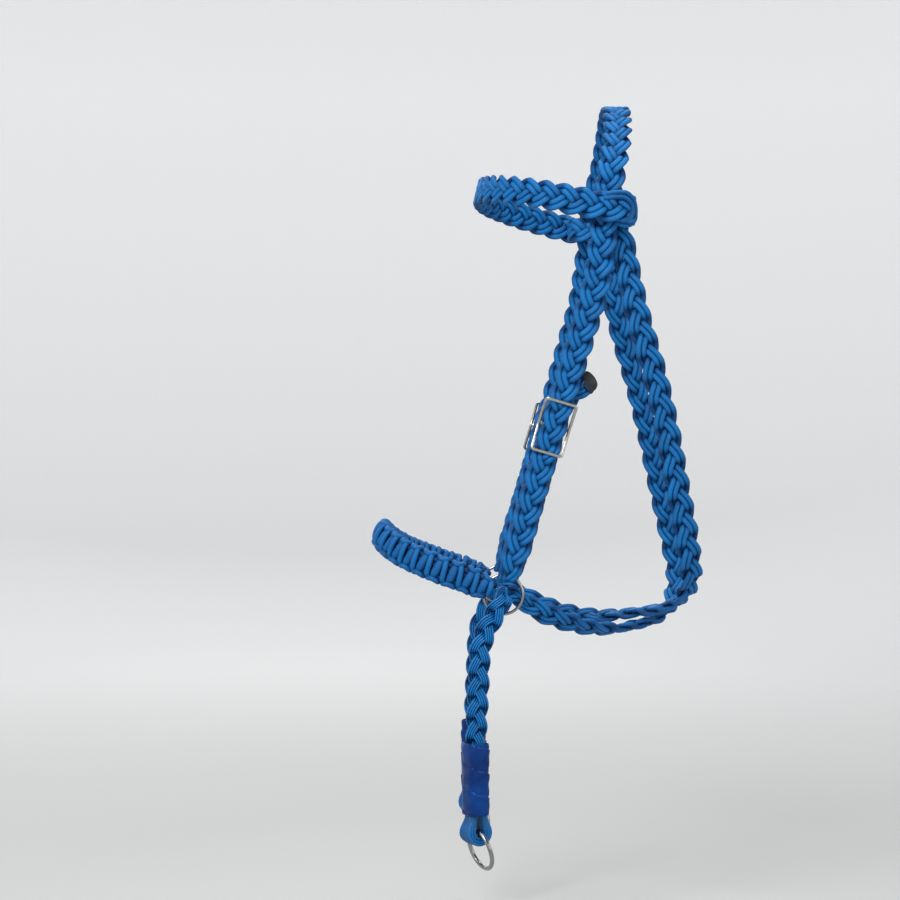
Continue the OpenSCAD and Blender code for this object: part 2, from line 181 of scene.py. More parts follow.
class Tubes:
    """Tubes gathered into one mesh, with the UV map and shades that the finishes read."""

    def __init__(self):
        self.points, self.quads, self.caps, self.uvs, self.shades, self.count = [], [], [], [], [], 0

    def grid(self, points, u, closed=False, shade=0.5):
        """An array of points, rows along and columns round. Quads join it, round always and along if
        closed, and open ends get a flat cap each."""
        rows, cols = points.shape[:2]
        i = np.arange(rows if closed else rows - 1)[:, None]
        j = np.arange(cols)[None, :]
        i2, j2 = (i + 1) % rows, (j + 1) % cols
        quad = np.stack([i * cols + j, i * cols + j2, i2 * cols + j2, i2 * cols + j], axis=-1)
        u2 = np.append(u[1:], 2 * u[-1] - u[-2])
        flat = np.ones_like(i * j)
        corner_u = np.stack([u[i] * flat, u[i] * flat, u2[i] * flat, u2[i] * flat], axis=-1)
        corner_v = np.stack([j * flat, (j + 1) * flat, (j + 1) * flat, j * flat], axis=-1) / cols
        self.points.append(points.reshape(-1, 3))
        self.quads.append(quad.reshape(-1, 4) + self.count)
        self.uvs.append(np.stack([corner_u, corner_v], axis=-1).reshape(-1, 2))
        if not closed:
            ring = np.arange(cols)
            self.caps += [self.count + ring[::-1], self.count + (rows - 1) * cols + ring]
        self.shades.append(np.broadcast_to(shade, (rows, cols)).ravel())
        self.count += rows * cols

    def sweep(self, path, across, wide, thick, sides=10, closed=False, rise=None, half=None):
        """A tube along path. Round it goes half of wide times the cosine across, and half of thick times
        the sine square to that. Its shade starts as a random tone. If its rise in a strap of that half
        thickness is given, the shade is mostly the square of how near its skin comes to the strap's faces,
        so the gaps get painted shade."""
        if closed:
            way = unit(np.roll(path, -1, axis=0) - np.roll(path, 1, axis=0))
        else:
            way = unit(np.gradient(path, axis=0))
        up = unit(np.cross(way, across))
        across = np.cross(up, way)
        turn = np.linspace(0, 2 * np.pi, sides, endpoint=False)[None, :, None]
        wide, thick = (np.broadcast_to(v, len(path))[:, None, None] / 2 for v in (wide, thick))
        points = (path[:, None] + np.cos(turn) * wide * across[:, None]
                  + np.sin(turn) * thick * up[:, None])
        u = np.append(0, np.cumsum(np.linalg.norm(np.diff(path, axis=0), axis=1)))
        shade = random.uniform(0, 1)
        if rise is not None:
            out = np.abs(rise[:, None] + (np.sin(turn) * thick)[..., 0]) / half
            shade = 0.3 * shade + 0.85 * np.clip(out, 0, 1) ** 2 - 0.1
        self.grid(points, u, closed, shade)

    def piece(self, name, finish, slot, body, stands_for):
        """The gathered tubes as one Blender object in metres. It rides on body, unless that is None."""
        mesh = bpy.data.meshes.new(name)
        quads = np.vstack(self.quads)
        faces = quads.tolist() + [cap.tolist() for cap in self.caps]
        mesh.from_pydata(np.vstack(self.points) * MM, [], faces)
        uv = np.vstack(self.uvs + [np.zeros((len(cap), 2)) for cap in self.caps])
        mesh.uv_layers.new(name="along").data.foreach_set("uv", uv.ravel())
        shade = mesh.attributes.new("shade", "FLOAT", "POINT")
        shade.data.foreach_set("value", np.concatenate(self.shades))
        smooth = np.arange(len(mesh.polygons)) < len(quads)
        mesh.polygons.foreach_set("use_smooth", smooth)
        mesh.materials.append(finish)
        mesh.update()
        made = bpy.data.objects.new(name, mesh)
        bpy.context.scene.collection.objects.link(made)
        if body:
            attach(made, body)
        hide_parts(*stands_for)
        print(name, "has", len(mesh.polygons), "faces and", len(self.points), "closed skins")
        return made


print("the first cord's shade starts from", round(np.random.default_rng(SHADE_SEED).uniform(0, 1), 3))

# %% [markdown]
# ## Finishes as sums
# A cord's finish is a pattern worked out from places, so it reads best as arithmetic. Nodes could be
# wired by name one at a time, but a small class that stands for one socket is shorter: adding or
# multiplying two of them wires a Math node.

# %% Arithmetic on sockets
class Wire:
    """One output socket. Arithmetic on it adds Math nodes."""

    def __init__(self, paint, socket):
        self.paint, self.socket = paint, socket

    def maths(self, operation, *others):
        values = dict(enumerate((self, *others)))
        return self.paint.node("ShaderNodeMath", values, operation=operation)

    def __add__(self, other):
        return self.maths("ADD", other)

    def __sub__(self, other):
        return self.maths("SUBTRACT", other)

    def __rsub__(self, other):
        return (self * -1) + other

    def __mul__(self, other):
        return self.maths("MULTIPLY", other)

    def __pow__(self, other):
        return self.maths("POWER", other)

    __radd__ = __add__
    __rmul__ = __mul__

    def sine(self):
        return self.maths("SINE")

    def fraction(self):
        return self.maths("FRACT")

    def size(self):
        return self.maths("ABSOLUTE")

    def between(self, low, high):
        """0 below low, 1 above high, and a straight slope from one to the other."""
        return self.paint.node("ShaderNodeMapRange", {"Value": self, "From Min": low, "From Max": high})


print("sockets can be added, taken away, multiplied and raised to a power")

# %% [markdown]
# ## One material
# Every finish on this bridle is one Principled shader with a few nodes behind it. One method makes any
# node: it sets what kind of node it is, and then fills its inputs with numbers or with wires. Values
# that are the same all over, such as how mirror-like a cord is, are set on the shader itself.

# %% A finish being wired
class Paint:
    """A material being wired, with one Principled shader."""

    def __init__(self, name, **uniform):
        self.material = bpy.data.materials.new(name)
        self.material.use_nodes = True
        self.tree = self.material.node_tree
        self.shader = self.tree.nodes["Principled BSDF"]
        for socket, value in uniform.items():
            socket = socket.replace("_", " ").title().replace("Ior", "IOR")
            self.shader.inputs[socket].default_value = value

    def node(self, kind, values=(), output=0, **settings):
        """A node of that kind: its settings first, then its inputs' values or links."""
        made = self.tree.nodes.new(kind)
        for key, value in settings.items():
            setattr(made, key, value)
        for key, value in dict(values).items():
            if isinstance(value, Wire):
                self.tree.links.new(value.socket, made.inputs[key])
            else:
                made.inputs[key].default_value = value
        return Wire(self, made.outputs[output])

    def mix(self, factor, a, b):
        """Colour a where factor is 0, and b where it is 1."""
        return self.node("ShaderNodeMix", {0: factor, 6: a, 7: b}, output=2, data_type="RGBA")

    def noise(self, scale, detail=2, place=None):
        """Cloudy noise about 0.5, that many lumps to a metre unless place is given."""
        place = place or self.node("ShaderNodeTexCoord", output=3)
        return self.node("ShaderNodeTexNoise", {"Vector": place, "Scale": scale, "Detail": detail})

    def cord_place(self):
        """Millimetres along a cord and turns round it, from the piece's UV map."""
        uv = self.node("ShaderNodeUVMap", uv_map="along")
        return [self.node("ShaderNodeSeparateXYZ", {0: uv}, output=k) for k in (0, 1)]

    def feed(self, **wires):
        """Links the given wires to the shader and hands back the material."""
        for socket, wire in wires.items():
            self.tree.links.new(wire.socket, self.shader.inputs[socket.replace("_", " ").title()])
        return self.material

    def bump(self, height, depth):
        """A normal from height, 0 to 1, that stands depth metres."""
        return self.node("ShaderNodeBump", {"Height": height, "Strength": 1.0, "Distance": depth})


def colour(red, green, blue):
    """A display colour, 0 to 255 each, as the linear colour with alpha that nodes take."""
    c = np.array([red, green, blue]) / 255
    return (*np.where(c < 0.04045, c / 12.92, ((c + 0.055) / 1.055) ** 2.4), 1.0)


print("half of full display white is only", round(colour(128, 128, 128)[0], 2), "of its light")

# %% [markdown]
# ## Blue cord
# The straps' cord is nylon with a woven sheath: fine yarns run slantwise and change direction from
# one column to the next, like a herringbone. A picture of a weave could be wrapped round it, but a
# sine of the UV map makes the same herringbone at any size. Ridges are smoother, and they get painted
# light while the valleys between yarns get painted shade. A slow noise along the strap stands for dye
# and handling. The hanging straps are of another cord, whose fine filaments lie side by side and
# shine, each painted with a highlight along it and shade beside it.

# %% Woven sheath and silky filament finishes
def woven_cord(name, deep, bright, columns=6, lay=2.6, depth=0.00022):
    """Herringbone: the sine of the distance along plus a zigzag of the turn round the cord, with a line
    between the columns of yarn. Its tone adds up the weave, painted as light and shade, the tube's
    shade and the slow noise."""
    paint = Paint(name, roughness=0.5, specular_ior_level=0.22)
    length, turn = paint.cord_place()
    zigzag = ((turn * columns).fraction() - 0.5).size() * 2
    ridge = ((length * (1 / lay) + zigzag * 1.1) * (2 * np.pi)).sine() * 0.5 + 0.5
    column = ((turn * columns * 2).fraction() - 0.5).size() * 2
    weave = ridge * 0.7 + (1 - column**3) * 0.3
    shade = paint.node("ShaderNodeAttribute", output=2, attribute_name="shade")
    cloud = paint.noise(60, 3)
    # painted light and shade: paler on the yarns' ridges, darker in the valleys and where cords dive under
    # others; cloud is dye and handling
    tone = weave * 0.3 + shade * 0.55 + cloud * 0.4 - 0.2
    dust = paint.noise(900, 2).between(0.62, 0.75) * 0.03
    base = paint.mix(dust, paint.mix(tone.between(0, 1), deep, bright), colour(120, 175, 215))
    roughness = 0.62 - weave * 0.2 + cloud * 0.08
    return paint.feed(Base_Color=base, Roughness=roughness, Normal=paint.bump(weave, depth))


def silky_cord(name, deep, bright):
    """Fine filaments: noise stretched along the cord with a slow twist, and the sine of nine lines to each
    turn round it, painted as a highlight on each filament and shade between them. The tone adds the
    tube's shade and a slow noise to them."""
    paint = Paint(name, roughness=0.35, specular_ior_level=0.3)
    length, turn = paint.cord_place()
    twisted = paint.node("ShaderNodeCombineXYZ", {0: length * 0.02, 1: turn * 3 + length * 0.03, 2: 0.0})
    strand = paint.noise(9, 3, twisted).between(0.3, 0.7)
    # the lines are a painted highlight along each filament and painted shade between them; the stretched
    # noise is tone varying along the cord
    lines = ((turn * 9 + length * 0.06) * (2 * np.pi)).sine() * 0.5 + 0.5
    hair = strand * 0.55 + lines * 0.45
    shade = paint.node("ShaderNodeAttribute", output=2, attribute_name="shade")
    cloud = paint.noise(45, 2)
    tone = hair * 0.4 + shade * 0.5 + cloud * 0.4 - 0.2
    base = paint.mix(tone.between(0, 1), deep, bright)
    roughness = 0.42 - hair * 0.16 + cloud * 0.06
    return paint.feed(Base_Color=base, Roughness=roughness, Normal=paint.bump(hair, 0.00012))


strap_cord = woven_cord("strap_cord", colour(0, 34, 82), colour(10, 122, 196))
knot_cord = woven_cord("knot_cord", colour(0, 28, 74), colour(8, 108, 178), 5, 2.2)
rein_cord = silky_cord("rein_cord", colour(0, 36, 86), colour(12, 126, 200))
print("cord finishes:", strap_cord.name, knot_cord.name, rein_cord.name)

# %% [markdown]
# ## Braiding
# In a three-strand braid every strand does the same thing a third of a period later: it swings from
# edge to edge, and it goes over on the way out and under on the way back. So its place across is a
# sine, and its height is the sine of twice that angle, made steeper so that it stays up while it
# crosses. A flat mesh with a braid bumped on it would be cheaper, but its edge would be straight. Each
# strand is two or more cords lying side by side, and every cord is its own tube.

# %% Braid
STEEP = 2.4         # how sharply a strand changes from over to under
FILL = 0.82         # the share of half a narrow strap's width that a strand's cords may take
SNUG = 0.97         # from one cord of a strand to the next, in cord widths: they press together
FULL_THICK, MOST_SQUEEZE = 8, 0.55      # a strap thinner than this has its cords pressed flatter


def braid(tubes, strap, period, cords=2, cord_w=5.2, cord_t=3.9, lag=0, step=1.4):
    """A three-strand braid all along a strap: place across is the sine of the angle, and height is the
    hyperbolic tangent of the sine of twice the angle. Cords narrow where the strap is squeezed."""
    s = np.linspace(0, strap.long, int(strap.long / step) + 2)
    _, _, out, width, thick, _ = strap.at(s)
    wide = np.minimum(cord_w, width / (2 * cords) * FILL)
    flat = cord_t * np.clip(thick / FULL_THICK, MOST_SQUEEZE, 1)
    for strand in range(3):
        angle = 2 * np.pi * ((s + lag) / period + strand / 3)
        swing = (width - cords * wide) / 2 * np.sin(angle)
        rise = (thick - flat) / 2 * np.tanh(STEEP * np.sin(2 * angle)) / np.tanh(STEEP)
        middle = strap.place(s, swing, rise)
        across = unit(np.cross(out, unit(np.gradient(middle, axis=0))))
        for k in range(cords):
            beside = (k - (cords - 1) / 2) * wide * SNUG
            # the cords get painted shade where they dive under the others, and are painted lighter where
            # they cross over
            tubes.sweep(middle + across * beside[:, None], across, wide, flat,
                        rise=rise, half=thick[:, None] / 2)


print("in each braid a strand goes over and under twice for every time it swings out and back")


# %% [markdown]
# ## The hanging rein straps
# Each cross-under strap comes out through the side ring and hangs down to a taped end. It is a free
# cord of known length: from the ring to where the tape takes hold. It leaves the ring edge up,
# turns a quarter on itself as it drops over the wire, and hangs with a slight lean. A simulated rope
# would find that shape too, but it would move whenever a setting changed, so the route is chosen and
# measured. The strands are bundles of fine silky cord instead of pairs of thick ones.

# %% Hanging straps
REIN_X, REIN_Y, TAPE_TOP, TAPE_LONG, EYE_Z = -130, -79, -572, 64, -651.5
REIN = [
    [-104.5, -66, -440.3, 1, -0.1, 0.1, 15, 6.5, 0], [-105, -73, -440, 0.9, -0.5, 0.4, 16, 7, 0],
    [-105.5, -78, -443, 0.5, -0.8, 0.3, 18, 8, 0], [-108, -79.4, -449, 0.15, -1, 0.1, 19.5, 9, 0],
    [-114, REIN_Y, -459, 0, -1, 0, 20.4, 9.4, 0], [-120.5, REIN_Y, -471, 0, -1, 0, 20.4, 9.4, 0],
    [-125.5, REIN_Y, -487, 0, -1, 0, 20.4, 9.4, 0], [-127, REIN_Y, -510, 0, -1, 0, 20.4, 9.4, 0],
    [-128.5, REIN_Y, -540, 0, -1, 0, 20.4, 9.4, 0], [-129.5, REIN_Y, -562, 0, -1, 0, 20, 9.4, 0],
    [REIN_X, REIN_Y, TAPE_TOP - 8, 0, -1, 0, 17, 9, 0],
]
REIN_PERIOD = 58.5
reins = {}
for body, rows in (("near_rein", REIN), ("off_rein", other_side(REIN))):
    strap, tubes = Strap(rows), Tubes()
    braid(tubes, strap, REIN_PERIOD, cords=4, cord_w=2.35, cord_t=3.6, lag=8, step=1.1)
    piece = tubes.piece(body + "_braid", rein_cord, "rein_braid", None, [body + "_strap"])
    reins[body] = (piece, strap)
print("each hanging strap is", round(reins["near_rein"][1].long), "mm from ring to tape")

# %% [markdown]
# ## Crown, cheek straps and their ends
# On the real bridle these are one braid. It starts at a sealed tip behind the near cheek, runs down
# through the slide to the side ring, folds round the ring's wire, climbs the cheek in front of
# itself, crosses the poll and does the same on the off side. So it is braided here in one go, and
# the chevrons run on through the folds. Where it meets the wire it is squeezed thin and follows the
# ring's own curve.

# %% Headpiece braid
LEAN, TILT = np.radians(16.5), np.radians(5)
CHEEK_ACROSS = np.array([np.cos(LEAN), 0, -np.sin(LEAN)])
CHEEK_UP = np.array([np.sin(LEAN) * np.cos(TILT), -np.sin(TILT), np.cos(LEAN) * np.cos(TILT)])
CHEEK_OUT = -np.array([np.sin(TILT) * np.sin(LEAN), np.cos(TILT), np.sin(TILT) * np.cos(LEAN)])
RING_UP, RING_OUT = np.array([np.sin(LEAN), 0, np.cos(LEAN)]), np.array([0, -1, 0])
LAYER = 5.1     # from the strap's middle plane to the middle of each of its two layers
PINCHED_BELOW, PINCH = 28, 0.9      # height over the ring where the layers are drawn together, and how far
FOLD_R = 4.0    # from the ring wire's middle to the middle of the braid folded round it
HEADPIECE_PERIOD = 57


def cheek(up, out, across=0):
    """A point in the cheek strap's own directions, set out from the near side ring's centre."""
    return RING + CHEEK_UP * up + CHEEK_OUT * out + CHEEK_ACROSS * across


def cheek_row(up, layer, across=0, width=25, thick=8.3, wrap=0):
    """A row of the strap's front layer, layer 1, or of the layer behind it, layer -1."""
    pinch = 1 if up > PINCHED_BELOW else PINCH
    return [*cheek(up, layer * LAYER * pinch, across), *(CHEEK_OUT * layer), width, thick, wrap]


def fold_row(angle):
    """Half a turn round the ring's wire, from -90 degrees behind it to 90 in front."""
    a = np.radians(angle)
    away = RING_OUT * np.sin(a) - RING_UP * np.cos(a)
    return [*(RING + RING_UP * RING_R + away * FOLD_R), *away, 20, 4.3, 1]


CROWN = [
    [-20, -97.5, -140, 0, -1, 0], [-17, -97, -118, 0, -1, 0], [-14.5, -97, -98, 0, -1, 0],
    [-12, -97, -78, 0, -1, 0], [-9, -94, -60, 0, -0.96, 0.3], [-4, -80, -38, 0, -0.8, 0.6],
    [-1, -56, -15, 0, -0.6, 0.8], [0, -30, 0, 0, -0.25, 1], [0, 0, 5, 0, 0, 1],
]
RETURN = [  # height over the ring, how far it leans across, and width, from the tip down
    (202, 15.5, 20), (196, 11, 22), (186, 4, 23), (172, 0, 24.4), (130, 0, 24.6), (80, 0, 24.6),
    (46, 0, 25),
]
CHEEK = [   # height over the ring and width, from the fold up
    (46, 26), (80, 24.8), (130, 24.6), (200, 24.8), (235, 26), (262, 26.5), (270, 26.5), (278, 26.5),
]
near_half = (
    [cheek_row(up, -1, across, width) for up, across, width in RETURN]
    + [cheek_row(34, -1, width=24, thick=7.6, wrap=0.4)]
    + [cheek_row(25, -1, width=21.5, thick=5.6, wrap=0.9)]
    + [fold_row(angle) for angle in range(-90, 91, 30)]
    + [cheek_row(25, 1, width=21.5, thick=5.6, wrap=0.9)]
    + [cheek_row(34, 1, width=24.5, thick=7.6, wrap=0.4)]
    + [cheek_row(up, 1, width=width) for up, width in CHEEK]
    + [[*row, 26.5, 9.2, 0] for row in CROWN]
)
headpiece = Strap(both_halves(near_half))
tubes = Tubes()
braid(tubes, headpiece, HEADPIECE_PERIOD, lag=12)
tubes.piece(
    "headpiece_braid", strap_cord, "headpiece_braid", "headpiece",
    ["crown_strap", "near_cheek_strap", "off_cheek_strap", "near_cheek_return", "off_cheek_return"])
print("the headpiece is braided from", round(headpiece.long), "mm of flat strap")

# %% [markdown]
# ## Cross-under straps
# One strap leaves each side of the crown, drops behind the cheek, turns flat under the jaw and comes
# up into the ring of the other side, so that a pull on a rein squeezes the whole head softly. A
# mirrored copy would run into the first strap where they cross, so each has the same rows with its
# own share of lift, and the strap from the near side passes above the other.

# %% Cross-under straps
JAW = [  # place, outer face, width, thickness, and the share of the crossing's lift
    [-10, -84, -64, 0, -1, 0, 22, 8.6, 0], [-9, -86.6, -78, 0, -1, 0, 22, 8.6, 0],
    [-8, -87.4, -92, 0, -1, 0, 22, 8.6, 0], [-5, -87.4, -108, 0, -1, 0, 22, 8.6, 0],
    [1, -87.4, -128, 0, -1, 0, 23.2, 9, 0], [6, -90, -155, 0, -1, 0, 23.4, 9.2, 0],
    [15, -93, -195, 0, -1, 0, 23.4, 9.2, 0], [28, -92, -240, 0, -1, -0.1, 23.4, 9.2, 0],
    [39, -87, -285, 0, -1, -0.15, 23.4, 9.2, 0], [51, -78, -345, 0.1, -1, -0.2, 23.4, 9.2, 0],
    [61, -68, -395, 0.25, -1, -0.3, 23.4, 9.2, 0], [65, -56, -424, 0.5, -0.9, -0.5, 23, 9.2, 0],
    [62, -42, -442, 0.5, -0.5, -0.75, 22, 9, 0.2], [54, -26, -454, 0.4, -0.2, -0.9, 22, 9, 0.6],
    [40, -11, -463, 0.3, 0, -0.95, 22, 9, 1], [24, 0, -466.5, 0.15, 0, -1, 22, 9, 1],
    [5, 10, -470, 0, 0.2, -1, 22, 9, 1], [-14, 21, -471, -0.1, 0.5, -0.87, 22, 9, 0.7],
    [-35, 34, -468.5, -0.15, 0.7, -0.75, 22, 9, 0.4], [-55, 46, -463, -0.2, 0.85, -0.5, 22, 9, 0.1],
    [-75, 56, -454, 0, 1, -0.25, 20, 8, 0], [-88, 60, -446, 0, 1, -0.2, 17, 7.2, 0],
    [-96, 61, -441.5, 0.2, 1, 0, 16, 6.6, 0], [-102.5, 64.5, -440, 0.7, 0.7, 0, 15.5, 6.4, 0],
    [-104.6, 71, -440, 1, 0.1, 0, 15.5, 6.4, 0],
]
CROSS_LIFT = 5.5      # how far each strap is lifted or lowered to pass the other
CROSS_UNDER_PERIOD = 66
jaw = np.array(JAW, float)
lift = np.outer(jaw[:, 8], [0, 0, CROSS_LIFT])
for side, sign in (("near", 1), ("off", -1)):
    rows = np.hstack([jaw[:, :3] + lift * sign, jaw[:, 3:8], np.zeros((len(jaw), 1))])
    strap, tubes = Strap(rows if side == "near" else other_side(rows)), Tubes()
    braid(tubes, strap, CROSS_UNDER_PERIOD, cord_w=5.0, cord_t=4.2, lag=5)
    tubes.piece(side + "_cross_under_braid", strap_cord, "headpiece_braid", "headpiece",
                [side + "_cross_under"])
    print(side, "cross-under strap is", round(strap.long), "mm long")

# %% [markdown]
# ## Browband
# The browband is another flat braid. Each end is passed behind the crown and cross-under straps,
# turned round them and fastened behind itself, so it makes a loop that can slide a little up and
# down. The braid is thin where it lies against the head and where it turns. It is one strap from one
# fastened end to the other, because a joined loop would show a seam, and two cords laid round the
# back edge of each loop stand for the ends that are worked into it.

# %% Browband braid
BROW = [
    [-34.5, -99, -93, -1, 0, 0, 22, 6], [-34.8, -90, -94, -1, 0, 0, 24, 6.6],
    [-31, -81.5, -95, -0.7, 0.7, 0, 25, 5.4], [-22, -78.4, -96, 0, 1, 0, 25.5, 4.8],
    [-8, -78.3, -97, 0, 1, 0, 25.5, 4.8], [3, -79, -97.5, 0.2, 1, 0, 25.5, 4.8],
    [8.8, -84, -97.8, 0.8, 0.6, 0, 26, 4.6], [9.9, -92, -98, 1, 0, 0, 26, 4.5],
    [9.2, -100, -98, 1, -0.2, 0, 26.5, 4.8], [4.5, -106, -97.8, 0.6, -0.8, 0, 27, 7],
    [-4, -107.7, -97.3, 0, -1, 0, 27.5, 9], [-18, -107.8, -95.5, 0, -1, 0, 27.5, 9],
    [-30, -107.4, -93, 0, -1, 0, 27.5, 9], [-40.5, -106.8, -91, 0, -1, 0, 27.5, 9],
    [-57, -104, -87, -0.15, -1, 0, 27, 9], [-75, -96, -83, -0.45, -1, 0, 27, 9],
    [-92, -84, -79, -0.8, -1, 0, 27, 9], [-107, -67, -75.5, -1, -0.8, 0, 27, 9],
    [-117, -47, -73, -1, -0.5, 0.2, 27, 9], [-123, -24, -71, -1, -0.2, 0.22, 27, 9],
    [-125, 0, -70, -1, 0, 0.22, 27, 9],
]
BROW_PERIOD = 51
# CAP_SHADE sets the loop cords' painted shade, as for a cord 2.4 up a strap 4.5 deep
CAP_W, CAP_T, CAP_SHADE = 4.4, 4.6, (2.4, 4.5)     # the shade is that of a cord 2.4 up a strap 4.5 deep
CAPS = (    # cords from the braid's end, laid round the back edge of each loop
    [(-16, -110.5, -85), (-5, -111.6, -83.8), (2, -110.8, -84.2), (7, -108, -88), (10, -104, -94),
     (10.6, -102, -101), (9.8, -102, -107), (6, -103, -111), (0, -104, -111.6), (-6, -103, -109)],
    [(-18, -111, -89), (-6, -112, -88), (0.5, -111.8, -88.6), (4.5, -110.5, -91.5), (7, -108, -96),
     (7.2, -107, -101), (5.4, -107, -105.4), (1, -107.6, -107.4), (-6, -106, -106.4)],
)
browband = Strap(both_halves([[*row, 0] for row in BROW]))
tubes = Tubes()
braid(tubes, browband, BROW_PERIOD, lag=20)
for cap in CAPS:
    for sign in (1, -1):
        _, path = route(np.array(cap) * (1, sign, 1), 1.2)
        tubes.sweep(path, np.broadcast_to((0, 1, 0), path.shape), CAP_W, CAP_T,
                    rise=np.full(len(path), CAP_SHADE[0]), half=CAP_SHADE[1])
tubes.piece("browband_braid", strap_cord, "headpiece_braid", "browband",
            ["browband_strap", "near_browband_loop", "off_browband_loop"])
print("the browband takes", round(browband.long), "mm of flat braid")

# %% [markdown]
# ## Noseband core
# Four cords run from ring to ring and back, each folded round the rings' wires, and the knots are
# tied over all eight lengths. Each is one endless tube here: out along the front layer, round the
# off ring, back along the inner layer and round the near ring. A plain flat core would do under the
# knots, but the folds round the wire are in plain view, where the cords spread like a hand's fingers.

# %% Noseband route and core cords
NOSE_TIP = np.radians(-67)      # how far the band tips forward from upright where it leaves the rings
NOSE_UP, NOSE_SIDE = np.array([np.sin(NOSE_TIP), 0, np.cos(NOSE_TIP)]), np.array([0.39, 0, 0.92])
BAND_SIZE = [26.0, 11.0, 0.0]   # width, thickness and wrap, the same all along
NOSE = [RING + NOSE_UP * 30, RING + NOSE_UP * 39, [-153, -66.5, -421], [-174, -60, -413],
        [-194, -46, -404.5], [-209, -26, -395], [-216, 0, -387]]


def band(half):
    """The strap through that near half of the noseband and its mirror image."""
    rows = both_halves(half)
    face = np.cross(NOSE_SIDE, np.gradient(rows, axis=0))
    return Strap(np.hstack([rows, face, np.tile(BAND_SIZE, (len(rows), 1))]))


noseband = band(NOSE)
CORE_W, CORE_T, NOSE_FOLD_R = 4.6, 3.4, 3.5
CORE_GAP, FOLD_GAP = 4.4, 4.8     # from cord to cord along the band, and round the ring's wire
KNOT_HALF = 8.0     # from the band's middle plane to the knots' outer faces


def ring_fold(fan, sign):
    """Half a turn round one ring's wire, from in front of it to behind, fan radians round the ring."""
    c, d = np.cos(fan), np.sin(fan)
    up = np.array([NOSE_UP[0] * c + NOSE_UP[2] * d, 0, NOSE_UP[2] * c - NOSE_UP[0] * d])
    a = np.radians(np.linspace(90, -90, 7))[:, None]
    centre = RING * (1, sign, 1) + up * RING_R
    return centre + NOSE_FOLD_R * (np.sin(a) * RING_OUT * sign - np.cos(a) * up)


tubes = Tubes()
stations = np.linspace(0, noseband.long, 40)
for place in (-1.5, -0.5, 0.5, 1.5):
    x = np.full(len(stations), place * CORE_GAP)
    z = np.full(len(stations), CORE_T / 2)
    front, back = noseband.place(stations, x, z), noseband.place(stations[::-1], x, -z)
    near, off = (ring_fold(place * FOLD_GAP / RING_R, sign) for sign in (1, -1))
    loop = np.vstack([near[3::-1], front, off, back, near[:2:-1]])
    _, path = route(loop, 1.2)
    # the core cords are painted dark, as painted shade where they lie deep under the knots
    tubes.sweep(path[:-1], np.broadcast_to(NOSE_SIDE, (len(path) - 1, 3)), CORE_W, CORE_T, 10,
                closed=True, rise=np.full(len(path) - 1, CORE_T / 2), half=KNOT_HALF)
tubes.piece("noseband_core_cords", knot_cord, "noseband_cord", "noseband",
            ["noseband_core", "near_noseband_loop", "off_noseband_loop"])
print("the noseband is", round(noseband.long), "mm from loop to loop")

# %% [markdown]
# ## Noseband knots
# The band is covered in square knots. One cord crosses the front of the core again and again, once
# high and upright and once lower and slanting, where it is pressed wide between its neighbours. The
# other crosses the back, and its bends come round each edge as scallops over the first one. Knots
# could be copied along the band one at a time, but the cords would break at every joint, so each cord
# is drawn as one repeat on a flat band, as distance along, across and out, run on through all the
# knots, smoothed, and then laid on the curved band. The end knots cover the rings' wire.

# %% Noseband knots
FRONT_KNOT = [  # share of a knot along, millimetres across, millimetres out
    (-0.04, -8.6, 0.6), (0.02, -7.8, 4.4), (0.05, -4, 5.8), (0.07, 0, 6.2), (0.10, 4, 5.8),
    (0.16, 7.8, 4.4), (0.26, 9.6, 1.2), (0.38, 9.2, 1.2), (0.48, 7.0, 3.4), (0.52, 3, 4.3),
    (0.56, -2, 4.3), (0.62, -6, 3.6), (0.72, -8.8, 1.0), (0.86, -9.4, -0.6),
]
BACK_KNOT = [
    (0.04, 4, -4.6), (0.10, 9, -3.2), (0.10, 11.0, 0.4), (0.24, 10.2, 3.6), (0.46, 9.4, 4.6),
    (0.66, 10.4, 3.0), (0.70, 9.6, -2.8), (0.62, 3, -4.6), (0.50, -4, -4.6), (0.36, -9, -3.2),
    (0.28, -11.0, 0.4), (0.38, -10.6, 3.8), (0.64, -10.0, 4.4), (0.90, -10.8, 2.8), (1.02, -9.8, -2.6),
    (1.04, -4, -4.6),
]
KNOT_LONG, KNOT_CORD = 14.6, 5.2
PRESSED, PRESSED_AT, PRESSED_LONG = 0.55, 0.56, 0.09    # how much wider, and where in the repeat
DRAWN_IN, DRAWN_LONG = 0.3, 8     # how much narrower the band is at the ring, and over what length
knot_band = band([RING + NOSE_UP * 12, RING + NOSE_UP * 21] + NOSE)     # it starts inside the ring
knots = round(knot_band.long / KNOT_LONG)
knot_step = knot_band.long / knots
tubes = Tubes()
for repeat, press in ((FRONT_KNOT, PRESSED), (BACK_KNOT, 0)):
    flat = np.array([(knot + f, x, z) for knot in range(knots) for f, x, z in repeat])
    flat[:, 0] *= knot_step
    _, curve = route(flat, 0.8)
    curve[:, 0] = np.clip(curve[:, 0], 0, knot_band.long)
    to_end = np.minimum(curve[:, 0], knot_band.long - curve[:, 0])
    curve[:, 1] *= 1 - DRAWN_IN * np.exp(-((to_end / DRAWN_LONG) ** 2))
    path = knot_band.place(*curve.T)
    outward = path - knot_band.place(curve[:, 0], curve[:, 1] * 0, curve[:, 2] * 0)
    share = curve[:, 0] / knot_step % 1
    wide = KNOT_CORD * (1 + press * np.exp(-(((share - PRESSED_AT) / PRESSED_LONG) ** 2)))
    # painted shade: darker near the band's middle plane, brighter on the knots' outer faces and edges
    tubes.sweep(path, np.cross(outward, np.gradient(path, axis=0)), wide, KNOT_CORD * 0.94, 12,
                rise=np.hypot(curve[:, 2], curve[:, 1] * 0.5), half=KNOT_HALF)
